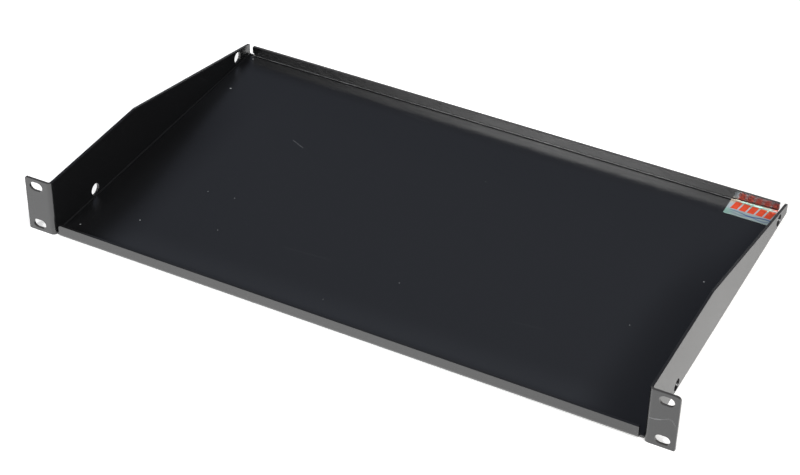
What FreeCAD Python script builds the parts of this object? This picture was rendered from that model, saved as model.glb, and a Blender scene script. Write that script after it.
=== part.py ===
import FreeCAD, Part
import os

# Cantilever rack shelf, one rack unit high: a pan folded from one steel sheet, and a foil label.
# Frame: millimetres, +X to the right as seen from the front, +Y to the rear, +Z up. The origin is
# on the underside of the pan, midway between its sides and midway from front to rear. The parts
# are drawn with the front face of the ears at Y = 0 and moved to this origin when written.

V = FreeCAD.Vector

# ---- Rack and body -------------------------------------------------------------------------
panel_width = 482.6         # across both ears, the 19 inch panel width
panel_height = 43.66        # height of a one unit panel
ear_reach = 19.05           # an ear's tip stands out from its side wall by this
depth = 266.7               # ear face to the outer face of the rear flange
sheet = 1.9                 # 14 gauge steel with its paint
bend_inside = 1.2           # inside radius of every bend

# ---- Side walls ----------------------------------------------------------------------------
wall_level_length = 106.6   # top edge runs level this far back from the ear face
wall_rear_height = 10.5     # height of the wall at its rear end
wall_rear_corner = 0.5      # radius of the wall's top rear corner
cross_hole_d = 9.0          # holes through both side walls
front_hole_setback = 50.8   # front pair, from the ear face
front_hole_height = 7.6
rear_hole_setback = 19.05   # rear pair, from the rear end of the wall
rear_hole_height = 8.6

# ---- Front lip and rear flange -------------------------------------------------------------
lip_height = 10.0
flange_height = 10.1
lip_end_gap = 3.5           # from the lip's and flange's ends to the inside of the walls
lip_left_corner = 2.0
lip_right_corner = 0.5
flange_corner = 0.8

# ---- Corner reliefs, which let the bends fold without tearing -------------------------------
foot_leg = 0.2              # the foot of an ear runs on behind its bend by this
foot_slit = 0.4             # width of the slits that free the foot and the lip's end
strip_front = 2.4           # the pan's strip beside the lip ends this far behind the ear face
flange_slit = 1.3           # width of the slit beside each end of the rear flange
slit_run = 0.2              # how far a slit runs past the bend that it frees

# ---- Ears ----------------------------------------------------------------------------------
slot_inset = 8.75           # slot centres from the ear's tip, on the rack's hole columns
slot_pitch_z = 31.75        # outer holes of one rack unit
slot_length = 10.4
slot_width = 7.2
left_top_corner = 1.0
left_foot_corner = 1.0
right_top_corner = 3.2
right_foot_corner = 0.8

# ---- Foil label, pressed onto the pan in the rear right corner and up its bend ---------------
label_width = 35.0
label_reach = 17.7          # from the flange's inner face to the label's front edge
label_thickness = 0.15
label_end_inset = 0.2       # from the flange's right end
label_rise_left = 1.6       # rear edge above the pan, at the label's left end
label_rise_right = 3.1      # and at its right end

# ---- Sizes that follow -----------------------------------------------------------------------
bend_outside = bend_inside + sheet
panel_half = panel_width / 2
body_half = panel_half - ear_reach
wall_inner = body_half - sheet
lip_half = wall_inner - lip_end_gap
slit_end = bend_outside + foot_leg + foot_slit
past = 5.0                  # how far a cutter runs past the faces that it opens


def bent_line(corners, offset, radius):
    """One side of a sheet with square bends: the given corners, set in by an offset and rounded."""
    steps = [(b - a).normalize() for a, b in zip(corners, corners[1:])]
    pieces = []
    at = corners[0] + steps[1] * offset
    for corner, before, after in zip(corners[1:-1], steps, steps[1:]):
        centre = corner + (after - before) * (offset + radius)
        start = centre - after * radius
        middle = centre + (before - after).normalize() * radius
        end = centre + before * radius
        pieces += [Part.LineSegment(at, start), Part.Arc(start, middle, end)]
        at = end
    pieces.append(Part.LineSegment(at, corners[-1] - steps[-2] * offset))
    return pieces


def bent_section(corners, thickness, inside_radius):
    """Closed face of a sheet with square bends that all fold to one side. The corners follow
    the other side, where the bends are largest."""
    outer = bent_line(corners, 0, inside_radius + thickness)
    inner = bent_line(corners, thickness, inside_radius)
    first_end = Part.LineSegment(inner[0].StartPoint, outer[0].StartPoint)
    last_end = Part.LineSegment(outer[-1].EndPoint, inner[-1].EndPoint)
    edges = [piece.toShape() for piece in outer + inner + [first_end, last_end]]
    return Part.Face(Part.Wire(Part.__sortEdges__(edges)))


def prism(points, along):
    """A flat polygon pushed along a vector."""
    return Part.Face(Part.makePolygon(points + [points[0]])).extrude(along)


def block(a, b):
    """The box between two opposite corners."""
    low = V(min(a.x, b.x), min(a.y, b.y), min(a.z, b.z))
    high = V(max(a.x, b.x), max(a.y, b.y), max(a.z, b.z))
    return Part.makeBox(high.x - low.x, high.y - low.y, high.z - low.z, low)


def edges_through(shape, points):
    """The edges of a shape that pass through the given points."""
    found = []
    for point in points:
        touch = Part.Vertex(point)
        found += [edge for edge in shape.Edges if edge.distToShape(touch)[0] < 1e-4]
    return found


def centre_channel():
    """The pan between its two end strips, with the front lip and the rear flange folded up."""
    corners = [
        V(-lip_half, 0, lip_height),
        V(-lip_half, 0, 0),
        V(-lip_half, depth, 0),
        V(-lip_half, depth, flange_height),
    ]
    channel = bent_section(corners, sheet, bend_inside).extrude(V(2 * lip_half, 0, 0))
    for side, corner in ((-1, lip_left_corner), (1, lip_right_corner)):
        lip_end = V(side * lip_half, sheet / 2, lip_height)
        channel = channel.makeFillet(corner, edges_through(channel, [lip_end]))
    flange_ends = [V(side * lip_half, depth - sheet / 2, flange_height) for side in (-1, 1)]
    return channel.makeFillet(flange_corner, edges_through(channel, flange_ends))


def side_wall(side):
    """One side wall with its bend and the strip of pan beside it. Its top slopes to the rear."""
    corners = [
        V(side * lip_half, bend_outside, 0),
        V(side * body_half, bend_outside, 0),
        V(side * body_half, bend_outside, panel_height),
    ]
    wall = bent_section(corners, sheet, bend_inside).extrude(V(0, depth - bend_outside, 0))
    drop = (panel_height - wall_rear_height) / (depth - wall_level_length)
    above_slope = [
        V(side * lip_half, wall_level_length, panel_height),
        V(side * lip_half, depth + past, wall_rear_height - drop * past),
        V(side * lip_half, depth + past, panel_height + past),
        V(side * lip_half, wall_level_length, panel_height + past),
    ]
    wall = wall.cut(prism(above_slope, V(side * (body_half + past - lip_half), 0, 0)))
    rear_top = V(side * (body_half - sheet / 2), depth, wall_rear_height)
    wall = wall.makeFillet(wall_rear_corner, edges_through(wall, [rear_top]))
    return wall.cut(foot_relief(side))


def ear(side, top_corner, foot_corner):
    """One mounting ear with the bend that joins it to the front of its side wall."""
    corners = [
        V(side * wall_inner, bend_outside + foot_leg, 0),
        V(side * wall_inner, 0, 0),
        V(side * panel_half, 0, 0),
    ]
    plate = bent_section(corners, sheet, bend_inside).extrude(V(0, 0, panel_height))
    tip = side * panel_half
    plate = plate.makeFillet(top_corner, edges_through(plate, [V(tip, sheet / 2, panel_height)]))
    return plate.makeFillet(foot_corner, edges_through(plate, [V(tip, sheet / 2, 0)]))


def rack_slot(x, z):
    """Cutter for one horizontal slot with round ends."""
    half_run = (slot_length - slot_width) / 2
    radius = slot_width / 2
    through = V(0, sheet + 2 * past, 0)
    middle = block(V(x - half_run, -past, z - radius), V(x + half_run, sheet + past, z + radius))
    ends = [Part.makeCylinder(radius, through.y, V(x + end * half_run, -past, z), V(0, 1, 0))
            for end in (-1, 1)]
    return middle.multiFuse(ends)


def flange_relief(side):
    """Cutter for the slit that frees one end of the rear flange from the strip beside it. Its
    front end is round, and its top opens in a quarter round to the flange's end."""
    radius = flange_slit / 2
    front = depth - bend_outside - slit_run
    top = bend_outside + slit_run
    inner_x = side * (lip_half - flange_slit)
    end_x = side * lip_half
    run = block(V(inner_x, front, -past), V(end_x, depth + past, top))
    front_end = Part.makeCylinder(radius, top + past, V(side * (lip_half - radius), front, -past))
    mouth = Part.makeCylinder(flange_slit, depth + past - front, V(end_x, front, top), V(0, 1, 0))
    mouth = mouth.common(block(V(inner_x, front, top), V(end_x, depth + past, top + flange_slit)))
    return run.multiFuse([front_end, mouth])


def foot_relief(side):
    """Cutter that clears the bend of one side wall from the foot of its ear."""
    low = V(side * lip_half, bend_outside - past, -past)
    high = V(side * (body_half + past), slit_end, bend_outside + slit_run)
    return block(low, high)


def corner_tab(side):
    """The end of the pan's strip between the lip and an ear. It runs on past the wall's bend."""
    low = V(side * (lip_half + foot_slit), strip_front, 0)
    return block(low, V(side * (wall_inner - foot_slit), slit_end, sheet))


def cross_hole(y, z):
    """Cutter for one pair of holes, in line through both side walls."""
    length = 2 * (body_half + past)
    return Part.makeCylinder(cross_hole_d / 2, length, V(-length / 2, y, z), V(1, 0, 0))


def folded_shelf():
    shelf = centre_channel()
    shelf = shelf.multiFuse([
        side_wall(-1),
        side_wall(1),
        corner_tab(-1),
        corner_tab(1),
        ear(-1, left_top_corner, left_foot_corner),
        ear(1, right_top_corner, right_foot_corner),
    ]).removeSplitter()
    cutters = [flange_relief(-1), flange_relief(1)]
    for side_x in (-1, 1):
        for side_z in (-1, 1):
            x = side_x * (panel_half - slot_inset)
            z = panel_height / 2 + side_z * slot_pitch_z / 2
            cutters.append(rack_slot(x, z))
    cutters.append(cross_hole(front_hole_setback, front_hole_height))
    cutters.append(cross_hole(depth - rear_hole_setback, rear_hole_height))
    return shelf.cut(cutters)


def foil_label():
    """Thin film on the pan. It curls up the rear bend and its rear edge runs a little askew."""
    right = lip_half - label_end_inset
    left = right - label_width
    flange_face = depth - sheet
    rise = max(label_rise_left, label_rise_right) + past
    corners = [
        V(left, flange_face - label_reach, sheet),
        V(left, flange_face, sheet),
        V(left, flange_face, sheet + rise),
    ]
    film = bent_section(corners, label_thickness, bend_inside - label_thickness)
    film = film.extrude(V(label_width, 0, 0))
    above_edge = [
        V(left, 0, sheet + label_rise_left),
        V(right, 0, sheet + label_rise_right),
        V(right, 0, sheet + rise + past),
        V(left, 0, sheet + rise + past),
    ]
    return film.cut(prism(above_edge, V(0, depth + past, 0)))


def write(name, shape):
    assert shape.isValid() and len(shape.Solids) == 1, name
    solid = shape.Solids[0].translated(V(0, -depth / 2, 0))
    solid.exportStep("parts/" + name + ".step")
    print(name, "volume", round(solid.Volume / 1000, 2), "cm3, faces", len(solid.Faces))
    print("   ", solid.BoundBox)


os.makedirs("parts", exist_ok=True)
write("folded_shelf", folded_shelf())
write("foil_label", foil_label())
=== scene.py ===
import bpy
import math
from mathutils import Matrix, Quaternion, Vector


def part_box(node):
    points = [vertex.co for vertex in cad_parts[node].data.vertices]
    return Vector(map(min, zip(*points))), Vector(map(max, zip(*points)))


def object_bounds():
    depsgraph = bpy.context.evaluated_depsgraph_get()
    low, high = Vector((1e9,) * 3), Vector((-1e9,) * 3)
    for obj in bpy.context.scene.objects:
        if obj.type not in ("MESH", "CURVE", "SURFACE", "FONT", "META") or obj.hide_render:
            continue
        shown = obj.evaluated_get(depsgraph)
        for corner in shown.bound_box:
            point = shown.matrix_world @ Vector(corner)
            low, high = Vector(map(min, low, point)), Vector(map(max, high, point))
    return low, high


# A one unit rack shelf, folded from one steel sheet and painted black, with a foil label on its
# pan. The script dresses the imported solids, sets them on a pale studio floor and lights them.
# Units are metres. +X is to the right as seen from the front, +Y to the rear, +Z up.

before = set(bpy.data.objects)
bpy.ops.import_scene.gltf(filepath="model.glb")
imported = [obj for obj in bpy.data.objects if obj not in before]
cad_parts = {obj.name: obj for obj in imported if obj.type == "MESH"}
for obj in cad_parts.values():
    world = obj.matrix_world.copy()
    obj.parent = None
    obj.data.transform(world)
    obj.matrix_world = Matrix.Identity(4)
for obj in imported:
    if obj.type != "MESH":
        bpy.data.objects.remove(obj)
solid_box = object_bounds()

# ---- Folded shelf --------------------------------------------------------------------------
# One sheet of 14 gauge steel, cut flat and folded into pan, lip, flange, side walls and slotted
# ears, then sprayed with semi-gloss black paint that is baked on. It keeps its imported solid.
# Screws through the ears hold it to a rack.


class Flow:
    """A value, colour or vector on its way through a material. Arithmetic on it adds nodes."""

    def __init__(self, tree, socket=None):
        self.tree = tree
        self.socket = socket

    def node(self, kind, settings=None, inputs=None, output=0):
        """Adds a node, sets its settings, then gives its sockets their values or links."""
        made = self.tree.nodes.new(kind)
        for name, value in (settings or {}).items():
            setattr(made, name, value)
        for name, value in (inputs or {}).items():
            if isinstance(value, Flow):
                self.tree.links.new(value.socket, made.inputs[name])
            else:
                made.inputs[name].default_value = value
        return Flow(self.tree, made.outputs[output])

    def also(self, output):
        """Another output of the node that this comes from."""
        return Flow(self.tree, self.socket.node.outputs[output])

    def split(self):
        """The X, Y and Z parts of a vector."""
        parts = self.node("ShaderNodeSeparateXYZ", inputs={"Vector": self})
        return [parts.also(axis) for axis in "XYZ"]

    def math(self, operation, *values, clamp=False):
        settings = {"operation": operation, "use_clamp": clamp}
        return self.node("ShaderNodeMath", settings, dict(enumerate(values)))

    def vector(self, operation, *values, output=0):
        settings = {"operation": operation}
        return self.node("ShaderNodeVectorMath", settings, dict(enumerate(values)), output)

    def mix(self, under, over):
        """Colour under where this value is 0 and over where it is 1."""
        inputs = {0: self, 6: under, 7: over}
        return self.node("ShaderNodeMix", {"data_type": "RGBA"}, inputs, output=2)

    def between(self, low, high):
        """0 below low, 1 above high, with a smooth step from one to the other."""
        settings = {"interpolation_type": "SMOOTHSTEP"}
        return self.node("ShaderNodeMapRange", settings, {0: self, 1: low, 2: high})

    def __add__(self, other):
        return self.math("ADD", self, other)

    def __sub__(self, other):
        return self.math("SUBTRACT", self, other)

    def __mul__(self, other):
        return self.math("MULTIPLY", self, other)

    def __rsub__(self, other):
        return self.math("SUBTRACT", other, self)

    __radd__ = __add__


def new_finish(name):
    """An empty material, and the flow that adds nodes to it."""
    finish = bpy.data.materials.new(name)
    finish.use_nodes = True
    finish.node_tree.nodes.clear()
    return finish, Flow(finish.node_tree)


def close_finish(flow, shader):
    """Ends a material at its output."""
    end = flow.tree.nodes.new("ShaderNodeOutputMaterial")
    flow.tree.links.new(shader.socket, end.inputs["Surface"])


MM = 0.001
SHEET = 1.9 * MM
PAN_TOP = solid_box[0][2] + SHEET
EAR_FACE = solid_box[0][1]
FLANGE_FACE = solid_box[1][1] - SHEET
WALL_FACE = 220.35 * MM                # inside of each side wall, from the middle of the shelf

PAINT = (0.0042, 0.0043, 0.0048, 1)
PAINT_IOR = 1.86
PAINT_ROUGHNESS = 0.25
PAN_RUB = 0.04                         # how much rougher the pan is than the parts that stand up
RIPPLE_STRENGTH = 0.05
RIPPLE_HEIGHT = 0.1 * MM

DULL_IOR = 1.2
DULL_ROUGHNESS = 0.6
DULL_IN_BENDS = 0.78
SHINE_ON_RIDGE = 0.38                  # what the rear bend keeps of its gloss, near its top
DULL_ON_WALLS = 0.06
DULL_TO_REAR = 0.12

BARE = (0.36, 0.37, 0.38, 1)
# The next colour is a painted highlight on the cut edges that face up.
CUT_EDGE_HIGHLIGHT = (0.070, 0.066, 0.064, 1)
CUT_EDGE_SHOWS = 0.08
EAR_EDGE_SHOWS = 0.6
SLOT_EDGE_SHOWS = 0.5
FLANGE_EDGE_SHOWS = 1.3

# The next colour is painted light on the open pan; beside the walls the pan is left dark as
# painted shade.
PAINTED_PAN_LIGHT = (0.0185, 0.0200, 0.0230, 1)
PAN_LIGHT_ON_MIDDLE = 0.42
PAN_LIGHT_ALONG_FRONT = 0.32
SEAM_MARKS = 0.16
SPECKS = 0.12

# Chips in the pan's paint: place across and to the rear in millimetres, and radius.
CHIPS = [(-177, -92, 0.5), (-211, -116, 0.5), (198, 32, 0.6), (-208, 83, 0.8), (-214, 127, 0.6),
         (-153, -40, 0.35), (-132, -38, 0.35), (-123, -76, 0.3), (17, 66, 0.3),
         (171, -35, 0.35), (-21, -108, 0.3), (16, -68, 0.3)]

# Scratches in the pan's paint: both ends in millimetres, width, and how bare they are.
PAN_SCRATCHES = [((-131, 45, 1.9), (-120, 40, 1.9), 0.35, 0.22),
                 ((-74, 116, 1.9), (-52, 114, 1.9), 0.3, 0.05),
                 ((-73, -71, 1.9), (-37, -68, 1.9), 0.5, 0.018),
                 ((101, -69, 1.9), (123, -66, 1.9), 0.5, 0.018)]

# The curved mark on the right ear's front, in millimetres: a point, then the width of the run
# that starts there and how bare it is. The last point only ends the last run.
EAR_MARK = [((220.5, -133.3, 21.4), 0.35, 0.2), ((223, -133.3, 20.6), 0.35, 0.3),
            ((226, -133.3, 20.8), 0.4, 0.42), ((230, -133.3, 21.9), 0.4, 0.13),
            ((235, -133.3, 24.6), 0.5, 0.07), ((237.5, -133.3, 24), 0.6, 0.10),
            ((239.5, -133.3, 21), 0.6, 0.06), ((241, -133.3, 17.5), 0, 0)]


def spot(place, centre, radius, edge_start, edge_end):
    """1 close to a point or points, 0 farther off. The edge is given in parts of the radius."""
    distance = place.vector("DISTANCE", place, centre, output=1)
    return 1 - distance.between(radius * edge_start * MM, radius * edge_end * MM)


def chip(place, across, back, radius):
    """1 inside a small round chip in the pan's paint, 0 outside."""
    return spot(place, Vector((across * MM, back * MM, PAN_TOP)), radius, 0.4, 1.3)


def scratch(place, start, end, width):
    """1 along a straight scratch, 0 beside it."""
    start, end = Vector(start) * MM, Vector(end) * MM
    run = end - start
    along = place.vector("SUBTRACT", place, start)
    reach = place.vector("DOT_PRODUCT", along, run / run.dot(run), output=1)
    reach = reach.math("ADD", reach, 0.0, clamp=True)
    reach = place.node("ShaderNodeCombineXYZ", inputs={0: reach, 1: reach, 2: reach})
    nearest = place.vector("ADD", place.vector("MULTIPLY", reach, run), start)
    return spot(place, nearest, width, 0.4, 1.2)


def bare_marks(place):
    """How bare the paint is: scattered specks, chips and scratches."""
    grains = place.node("ShaderNodeTexVoronoi", inputs={"Vector": place, "Scale": 42.0})
    chance = grains.also("Color").split()[0]
    bare = (1 - grains.between(0.008, 0.018)) * chance.between(0.70, 1.0) * SPECKS
    for across, back, radius in CHIPS:
        bare = bare.math("MAXIMUM", bare, chip(place, across, back, radius))
    ear_runs = [(start, end, width, bareness)
                for (start, width, bareness), (end, *_) in zip(EAR_MARK, EAR_MARK[1:])]
    for start, end, width, bareness in PAN_SCRATCHES + ear_runs:
        bare = bare.math("MAXIMUM", bare, scratch(place, start, end, width) * bareness)
    return bare


def black_paint():
    """Rippled semi-gloss paint with marks, dull bends, painted pan light and shade, painted edge
    highlights.
    """
    finish, flow = new_finish("black_paint")
    place = flow.node("ShaderNodeTexCoord", output="Object")
    across, back, up = place.split()
    aside = across.math("ABSOLUTE", across)
    behind_ear = back.between(EAR_FACE + 3 * MM, EAR_FACE + 4 * MM)
    mottle = flow.node(
        "ShaderNodeTexNoise", inputs={"Vector": place, "Scale": 22.0, "Detail": 3.0})
    ripple = flow.node(
        "ShaderNodeTexNoise", inputs={"Vector": place, "Scale": 900.0, "Detail": 2.0})
    patches = flow.node(
        "ShaderNodeTexNoise", inputs={"Vector": place, "Scale": 160.0, "Detail": 2.0})

    # The bends that lead up from the pan, and the line low in the rear one that catches light.
    low_down = 1 - up.between(2.9 * MM, 3.4 * MM)
    rear_bend = back.between(FLANGE_FACE - 1.5 * MM, FLANGE_FACE - 1.1 * MM)
    side_bend = aside.between(WALL_FACE - 1.5 * MM, WALL_FACE - 1.1 * MM)
    side_bend = side_bend * (1 - aside.between(WALL_FACE, WALL_FACE + MM)) * behind_ear
    bends = rear_bend.math("MAXIMUM", rear_bend, side_bend) * low_down
    ridge = rear_bend * up.between(2.2 * MM, 2.4 * MM) * (1 - up.between(2.6 * MM, 2.8 * MM))

    # Painted light: the open middle of the pan is paler, most of all along the front, and the
    # strips beside the walls stay dark as painted shade. Pale broken marks lie along the rear
    # bend's ridge, most of them to the left.
    wall_shade = aside.between(164 * MM, 198 * MM) * (1 - back.between(0.0, 100 * MM) * 0.9)
    front_edge = 1 - back.between(EAR_FACE + 14 * MM, EAR_FACE + 40 * MM)
    at_rear = back.between(FLANGE_FACE - 24 * MM, FLANGE_FACE - 10 * MM)
    pan_light = (PAN_LIGHT_ON_MIDDLE + front_edge * PAN_LIGHT_ALONG_FRONT) * (1 - wall_shade)
    pan_light = pan_light * (1 - up.between(2.0 * MM, 2.4 * MM)) * (1 - at_rear * 0.8)
    seam_marks = ridge * patches.between(0.40, 0.62)
    seam_marks = seam_marks * (1 - across.between(-140 * MM, -20 * MM) * 0.8)
    bare = bare_marks(place)
    bare = bare.math("MAXIMUM", bare, seam_marks * SEAM_MARKS)

    # Painted highlights on the cut edges that face up, where light catches them: those of walls
    # and flange, and on the ears the top edges and the bottoms of the slots.
    facing_up = flow.node("ShaderNodeTexCoord", output="Normal").split()[2]
    outside = aside.between(WALL_FACE + MM, WALL_FACE + 2 * MM)
    above_pan = up.between(3.4 * MM, 4.4 * MM)
    cut = facing_up.between(0.25, 0.6) * above_pan.math("MAXIMUM", above_pan, outside)
    on_flange = back.between(FLANGE_FACE - 0.1 * MM, FLANGE_FACE)
    on_ear = aside.between(WALL_FACE, WALL_FACE + MM)
    on_ear = on_ear * (1 - back.between(EAR_FACE + SHEET, EAR_FACE + 2.5 * MM))
    in_slot = outside * (1 - up.between(39 * MM, 41 * MM)) * (1 - behind_ear)
    shows = CUT_EDGE_SHOWS + on_ear * EAR_EDGE_SHOWS + in_slot * SLOT_EDGE_SHOWS
    edge_highlight = cut * (shows + on_flange * FLANGE_EDGE_SHOWS + (mottle - 0.5) * 0.3)

    colour = pan_light.mix(PAINT, PAINTED_PAN_LIGHT)
    colour = edge_highlight.mix(colour, CUT_EDGE_HIGHLIGHT)
    colour = bare.mix(colour, BARE)
    on_pan = 1 - up.between(2.2 * MM, 3.2 * MM)
    roughness = PAINT_ROUGHNESS + on_pan * PAN_RUB + (mottle - 0.5) * 0.05 + bare * 0.3
    normal = flow.node("ShaderNodeBump", inputs={
        "Strength": RIPPLE_STRENGTH, "Distance": RIPPLE_HEIGHT, "Height": ripple})

    # Paint is duller down in the bends and a little on the walls' outsides, more to the rear.
    dulled = bends * (DULL_IN_BENDS - rear_bend * up.between(2.1 * MM, 2.6 * MM) * SHINE_ON_RIDGE)
    wall_outside = aside.between(WALL_FACE + 1.5 * MM, WALL_FACE + 1.8 * MM) * behind_ear
    to_rear = back.between(-20 * MM, 130 * MM)
    dulled = dulled + wall_outside * (DULL_ON_WALLS + to_rear * DULL_TO_REAR)
    gloss = flow.node("ShaderNodeBsdfPrincipled", inputs={
        "Base Color": colour, "Roughness": roughness, "IOR": PAINT_IOR, "Normal": normal})
    dull = flow.node("ShaderNodeBsdfPrincipled", inputs={
        "Base Color": bare.mix(PAINT, BARE), "Roughness": DULL_ROUGHNESS, "IOR": DULL_IOR})
    close_finish(flow, flow.node("ShaderNodeMixShader", inputs={0: dulled, 1: gloss, 2: dull}))
    return finish


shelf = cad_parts["folded_shelf"]
shelf.material_slots[0].material = black_paint()

# ---- Foil label ----------------------------------------------------------------------------
# A shiny printed film with glue on its back, pressed onto the pan in the rear right corner so
# that it curls up the rear bend. It keeps its imported solid.

# The foil's pale colour with its rainbow sheen painted in as tints; red and blue are print.
FOIL_GREEN = (0.43, 0.70, 0.61, 1)
FOIL_CREAM = (0.70, 0.60, 0.48, 1)
FOIL_PINK = (0.66, 0.52, 0.50, 1)
FOIL_PALE = (0.53, 0.60, 0.64, 1)
FOIL_GREY = (0.50, 0.62, 0.60, 1)
FOIL_RED = (0.92, 0.085, 0.025, 1)
FOIL_BLUE = (0.055, 0.12, 0.42, 1)
FOIL_METALLIC = 0.5
FOIL_ROUGHNESS = 0.22
FOIL_IOR = 1.5

BARS_ACROSS = 5.6                      # slanted bars that would fit the label's whole width
BAR_SLANT = 0.45
BAR_START = 0.85
REAR_EDGE_SKEW = 1.5 * MM              # its rear edge stands this much higher at the right end

# The two thin waves: how far back each lies, its height, its turns and how strong it is.
WAVES = [(0.25, 0.05, 9.0, 0.9), (0.14, 0.04, 14.0, 0.5)]


def label_foil():
    """Pale foil with painted sheen, a band of plain slanted red bars, thin blue waves, painted
    rear shade.
    """
    low, high = [Vector(corner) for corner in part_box("foil_label")]
    finish, flow = new_finish("label_foil")
    place = flow.node("ShaderNodeTexCoord", output="Object")
    x, y, up = place.split()
    across = (x - low.x) * (1 / (high - low).x)
    deep = (y - low.y) * (1 / (FLANGE_FACE - low.y))

    # The foil's pale colour carries a painted rainbow sheen: tints that change along it and from
    # front to rear.
    cloud = flow.node(
        "ShaderNodeTexNoise", inputs={"Vector": place, "Scale": 120.0, "Detail": 1.0})
    sheen = (across + (cloud - 0.5) * 0.8).between(0.12, 0.45).mix(FOIL_CREAM, FOIL_GREEN)
    sheen = (across + (cloud - 0.5) * 0.5).between(0.72, 1.0).mix(sheen, FOIL_PINK)
    sheen = deep.between(0.70, 0.90).mix(FOIL_PALE, sheen)
    front_sheen = across.between(0.05, 0.22).mix(FOIL_GREEN, FOIL_GREY)
    foil = (1 - deep.between(0.28, 0.45)).mix(sheen, front_sheen)

    run = across * BARS_ACROSS - deep * BAR_SLANT + BAR_START
    bar = run.math("FRACT", run)
    bar = bar.between(0.06, 0.12) * (1 - bar.between(0.86, 0.92))
    band = deep.between(0.38, 0.42) * (1 - deep.between(0.90, 0.94)) * run.between(1.0, 1.02)
    printed = (band * bar).mix(foil, FOIL_RED)

    fades_in = across.between(0.05, 0.15) * 0.5 + across.between(0.2, 0.6) * 0.5
    for level, height, turns, strength in WAVES:
        swell = across.math("SINE", across * turns)
        offset = deep - level - swell * height
        offset = offset.math("ABSOLUTE", offset)
        wave = (1 - offset.between(0.02, 0.05)) * fades_in * strength
        printed = wave.mix(printed, FOIL_BLUE)

    # A line of painted shade along the label's rear edge, where it stands off the rear bend.
    rear_edge_shade = (up - across * REAR_EDGE_SKEW).between(2.35 * MM, 2.55 * MM)
    printed = rear_edge_shade.mix(printed, PAINT)

    roughness = FOIL_ROUGHNESS + (cloud - 0.5) * 0.1
    shader = flow.node("ShaderNodeBsdfPrincipled", inputs={
        "Base Color": printed, "Metallic": FOIL_METALLIC, "Roughness": roughness, "IOR": FOIL_IOR})
    close_finish(flow, shader)
    return finish


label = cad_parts["foil_label"]
label.material_slots[0].material = label_foil()

# ---- Studio --------------------------------------------------------------------------------
# A pale floor in a dim room that is pale near the horizon, with a paler patch high to the rear
# left. A large lamp stands at the right and a soft box in front.

FLOOR_SIZE = 16.0
FLOOR_GAP = 0.2 * MM                   # below the shelf's underside
FLOOR_COLOUR = (0.82, 0.82, 0.82, 1)
FLOOR_GLOW = (0.64, 0.64, 0.64, 1)
FLOOR_GLOW_RIGHT = (0.36, 0.36, 0.36, 1)
FLOOR_GLOW_BESIDE = (0.315, 0.30, 0.275, 1)
FLOOR_GLOW_FAR = (1.0, 1.0, 1.0, 1)

bpy.ops.mesh.primitive_plane_add(size=FLOOR_SIZE, location=(0, 0, solid_box[0][2] - FLOOR_GAP))
floor = bpy.context.object
floor.name = "floor"
finish, flow = new_finish("pale_floor")
camera_ray = flow.node("ShaderNodeLightPath", output="Is Camera Ray")
seen = camera_ray + camera_ray.also("Is Glossy Ray")
seen = seen.math("ADD", seen, camera_ray.also("Is Transmission Ray"), clamp=True)
place = flow.node("ShaderNodeTexCoord", output="Object")
across, back, up = place.split()
right = across.between(0.0, 0.30)
beside = right * back.between(-0.18, -0.08)
glow = right.mix(FLOOR_GLOW, beside.mix(FLOOR_GLOW_RIGHT, FLOOR_GLOW_BESIDE))
far = flow.vector("LENGTH", place, output=1).between(0.7, 1.6)
glow = far.mix(glow, FLOOR_GLOW_FAR)
matt = flow.node("ShaderNodeBsdfDiffuse", inputs={"Color": FLOOR_COLOUR})
glow = flow.node("ShaderNodeEmission", inputs={"Color": glow, "Strength": seen})
close_finish(flow, flow.node("ShaderNodeAddShader", inputs={0: matt, 1: glow}))
floor.data.materials.append(finish)

ROOM_HORIZON = (0.80, 0.80, 0.80, 1)
ROOM_DIM = (0.040, 0.041, 0.044, 1)
ROOM_PATCH = (0.112, 0.122, 0.152, 1)
PATCH_AZIMUTH = 208
PATCH_ELEVATION = 36


def toward(azimuth, elevation):
    """Unit vector. Azimuth counts from the front towards +X, in degrees."""
    turn, lift = math.radians(azimuth), math.radians(elevation)
    level = math.cos(lift)
    return Vector((math.sin(turn) * level, -math.cos(turn) * level, math.sin(lift)))


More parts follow.
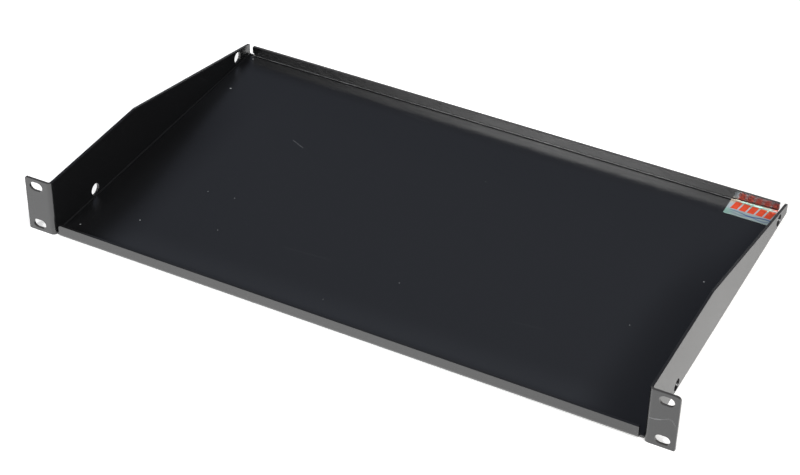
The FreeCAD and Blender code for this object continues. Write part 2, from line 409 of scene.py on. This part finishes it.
world = bpy.data.worlds.new("room")
bpy.context.scene.world = world
world.use_nodes = True
flow = Flow(world.node_tree)
way = flow.node("ShaderNodeTexCoord", output="Generated")
height = way.split()[2]
nearness = flow.vector("DOT_PRODUCT", way, toward(PATCH_AZIMUTH, PATCH_ELEVATION), output=1)
room = nearness.between(0.78, 0.985).mix(ROOM_DIM, ROOM_PATCH)
room = height.between(0.10, 0.19).mix(ROOM_HORIZON, room)
world.node_tree.links.new(room.socket, world.node_tree.nodes["Background"].inputs["Color"])


def soft_lamp(name, width, height, power, azimuth, elevation, distance):
    """A rectangular lamp that faces the shelf."""
    way = toward(azimuth, elevation)
    data = bpy.data.lights.new(name, "AREA")
    data.shape = "RECTANGLE"
    data.size = width
    data.size_y = height
    data.energy = power
    lamp = bpy.data.objects.new(name, data)
    lamp.location = way * distance
    lamp.rotation_euler = way.to_track_quat("Z", "Y").to_euler()
    bpy.context.scene.collection.objects.link(lamp)


soft_lamp("side_lamp", width=1.2, height=1.2, power=50.0,
          azimuth=70, elevation=48, distance=2.3)
soft_lamp("front_box", width=0.40, height=0.36, power=26.2,
          azimuth=-19.5, elevation=34, distance=2.2)

# ---- Camera --------------------------------------------------------------------------------
# It stands high in front of the right side and looks down across the pan with a long lens.

AIM = Vector((-0.0069, -0.0227, 0.0019))
CAMERA_AZIMUTH = 26.63
CAMERA_ELEVATION = 37.39
CAMERA_ROLL = 1.130
CAMERA_DISTANCE = 1.4497
LENS = 93.46
SENSOR_WIDTH = 36.0

way = toward(CAMERA_AZIMUTH, CAMERA_ELEVATION)
bpy.ops.object.camera_add(location=AIM + way * CAMERA_DISTANCE)
camera = bpy.context.object
camera.data.lens = LENS
camera.data.sensor_width = SENSOR_WIDTH
camera.rotation_mode = "QUATERNION"
roll = Quaternion((0, 0, 1), math.radians(CAMERA_ROLL))
camera.rotation_quaternion = way.to_track_quat("Z", "Y") @ roll
bpy.context.scene.camera = camera

bpy.context.scene.view_settings.view_transform = "Standard"
